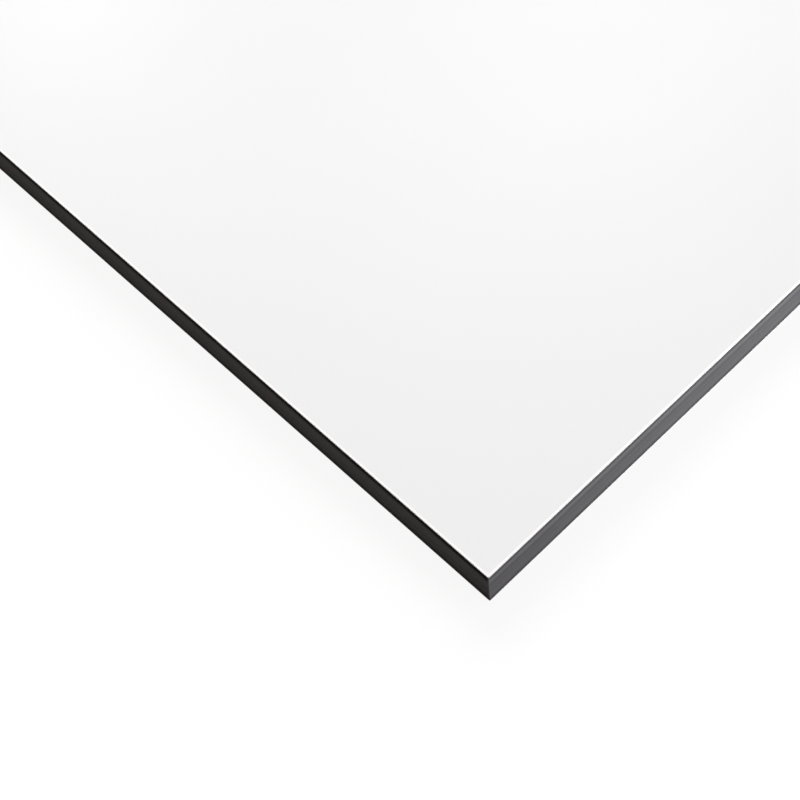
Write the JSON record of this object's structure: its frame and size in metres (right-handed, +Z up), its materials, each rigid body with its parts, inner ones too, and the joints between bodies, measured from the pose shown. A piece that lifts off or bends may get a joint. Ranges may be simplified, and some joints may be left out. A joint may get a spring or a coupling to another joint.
{
  "type": "compact laminate board",
  "caption": "Flat rigid sheet with a solid black core between two thin white decor sheets, for worktops, partitions, lockers and wall lining.",
  "frame": {"origin": "middle of the underside, on the surface that the board lies on", "axes": "+Z up out of the upper decor face, +X along the long edge, +Y along the short edge"},
  "size_m": [2.44, 1.22, 0.012],
  "materials": {
    "core": "matte",
    "decor": "satin"
  },
  "bodies": {
    "root": {"core": "core", "decor_face": "decor", "decor_back": "decor"}
  },
  "joints": []
}
